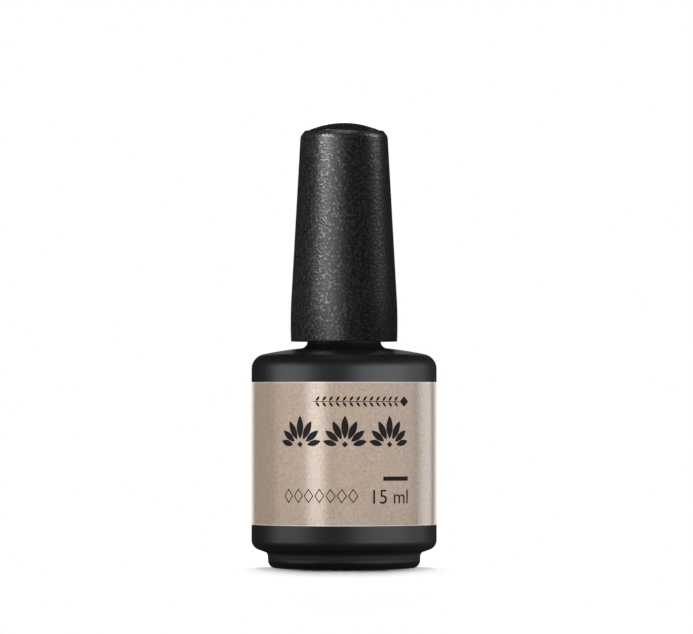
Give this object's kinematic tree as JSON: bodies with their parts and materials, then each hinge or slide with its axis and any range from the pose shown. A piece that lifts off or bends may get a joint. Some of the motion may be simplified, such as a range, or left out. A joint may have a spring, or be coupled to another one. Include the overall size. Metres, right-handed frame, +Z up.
{
  "type": "nail polish bottle",
  "caption": "Round glass nail polish bottle with a wrap label, a stepped foot and a tall tapered screw cap that carries the brush.",
  "frame": {"origin": "centre of the circle that the foot stands on", "axes": "+Z up the axis of the bottle and cap, -Y out of the middle of the label's front, +X to the right seen from the front"},
  "size_m": [0.0332, 0.0332, 0.0796],
  "materials": {
    "black_glass": "black lacquered glass, satin",
    "label_film": "champagne pearl film with fine glitter",
    "sticker_paper": "matte printed film",
    "ball_steel": "polished stainless steel",
    "washer_foam": "white polyethylene foam",
    "stem_plastic": "smooth moulded polyethylene",
    "anchor_metal": "bare strip",
    "bristles": "fine nylon filaments wet with polish",
    "inner_cap_plastic": "moulded polypropylene",
    "sleeve_plastic": "fine spark-eroded grain, satin",
    "insert_plastic": "polished dome"
  },
  "bodies": {
    "bottle": {"glass_bottle": "black_glass", "wrap_label": "label_film", "base_sticker": "sticker_paper"},
    "balls": {"mixing_balls": "ball_steel"},
    "washer": {"seal_washer": "washer_foam"},
    "brush": {"brush_stem": "stem_plastic", "tuft_anchor": "anchor_metal", "bristle_tuft": "bristles"},
    "cap": {"inner_cap": "inner_cap_plastic", "outer_sleeve": "sleeve_plastic", "top_insert": "insert_plastic"}
  },
  "joints": [
    {"name": "cap_lift", "type": "slide", "parent": "bottle", "child": "washer", "axis": [0, 0, 1], "range_m": [0, 0.045]},
    {"name": "thread_rise", "type": "slide", "parent": "washer", "child": "brush", "axis": [0, 0, 1], "range_m": [0, 0.00265]},
    {"name": "cap_twist", "type": "hinge", "parent": "brush", "child": "cap", "pos_m": [0, 0, 0], "axis": [0, 0, 1], "range_deg": [0, 450]},
    {"name": "ball_roll", "type": "hinge", "parent": "bottle", "child": "balls", "pos_m": [0, 0, 0], "axis": [0, 0, 1], "continuous": true}
  ],
  "couplings": [
    {"joint": "thread_rise", "follows": "cap_twist", "m_per_rad": 0.00033693}
  ]
}
